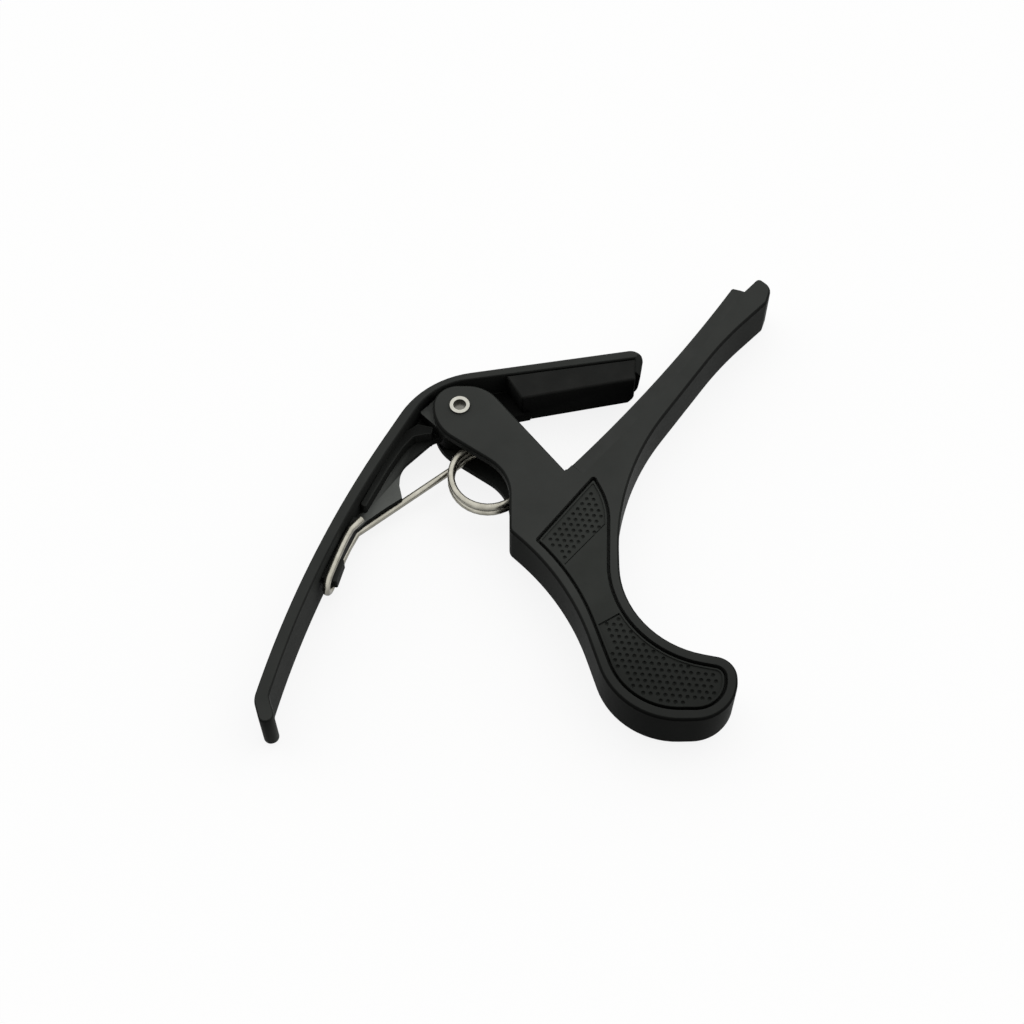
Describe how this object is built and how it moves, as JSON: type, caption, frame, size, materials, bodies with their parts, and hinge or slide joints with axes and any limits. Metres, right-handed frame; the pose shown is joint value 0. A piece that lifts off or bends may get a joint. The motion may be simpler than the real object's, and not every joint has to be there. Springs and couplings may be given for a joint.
{
  "type": "guitar capo",
  "caption": "Trigger guitar capo lying on its side: cast lever with fret bar and finger trigger, and a sprung clamp arm with neck jaw and thumb strip, turning on a tubular rivet.",
  "frame": {"origin": "under the middle of the outline, on the plane of the lever's rear broad face", "axes": "+Z out of the front broad face along the rivet, +Y towards the fret bar's tip end, +X towards the finger trigger's end"},
  "size_m": [0.0994, 0.0992, 0.0109],
  "materials": {
    "lever_paint": "satin",
    "arm_paint": "satin",
    "string_rubber": "matte",
    "neck_rubber": "matte",
    "front_grip": "dimpled",
    "rear_grip": "dimpled",
    "nickel_wire": "drawn",
    "bright_rivet": "polished"
  },
  "bodies": {
    "lever": {"trigger_lever": "lever_paint", "string_pad": "string_rubber", "front_grip_inlay": "front_grip", "rear_grip_inlay": "rear_grip", "pivot_rivet": "bright_rivet", "torsion_spring": "nickel_wire"},
    "clamp": {"clamp_arm": "arm_paint", "neck_pad": "neck_rubber"}
  },
  "joints": [
    {"name": "jaw_pivot", "type": "hinge", "parent": "lever", "child": "clamp", "pos_m": [-0.01392, 0.01838, 0.005], "axis": [0, 0, 1], "range_deg": [0, 36], "stiffness_Nm_per_rad": 0.9, "springref_deg": -37.24, "deforming": ["torsion_spring"]}
  ]
}
